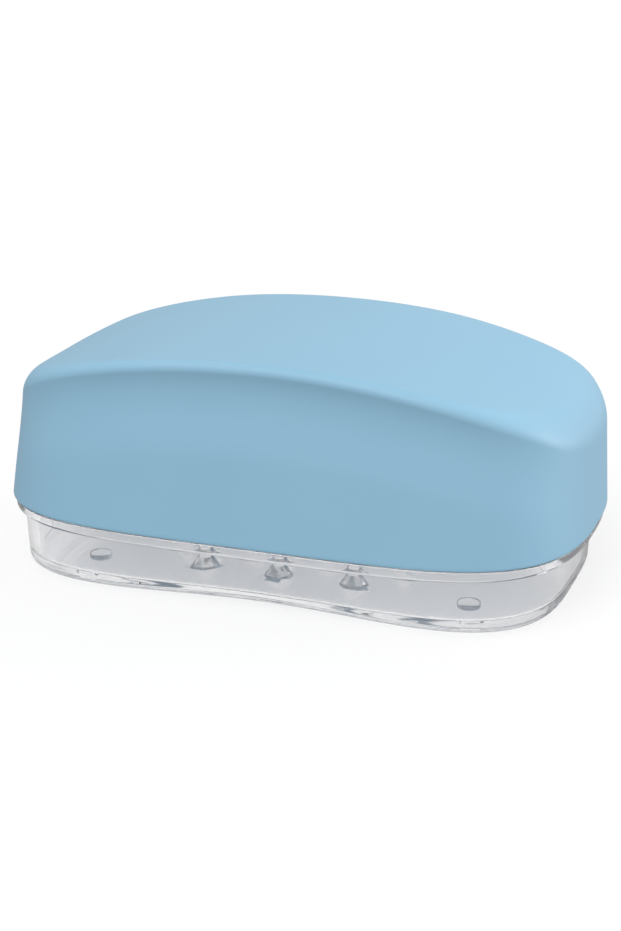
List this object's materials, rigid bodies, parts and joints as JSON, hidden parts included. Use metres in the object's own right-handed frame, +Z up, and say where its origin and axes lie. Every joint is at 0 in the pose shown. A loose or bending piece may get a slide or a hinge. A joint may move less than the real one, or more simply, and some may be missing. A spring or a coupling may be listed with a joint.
{
  "type": "soap case",
  "caption": "Oblong soap case with a clear pegged tray and a deep opaque arched lid that lifts off.",
  "frame": {"origin": "on the ground under the middle of the case, between the four feet", "axes": "+X along the case to its right end, +Y to its back, +Z up out of the lid; the browed and waisted front faces -Y"},
  "size_m": [0.13, 0.0784, 0.0544],
  "materials": {
    "clear_plastic": "clear polystyrene, polished moulding",
    "blue_plastic": "opaque polypropylene, satin moulding"
  },
  "bodies": {
    "tray": {"tray": "clear_plastic"},
    "lid": {"lid": "blue_plastic"}
  },
  "joints": [
    {"name": "lid_lift", "type": "slide", "parent": "tray", "child": "lid", "axis": [0, 0, 1], "range_m": [0, 0.07]}
  ]
}
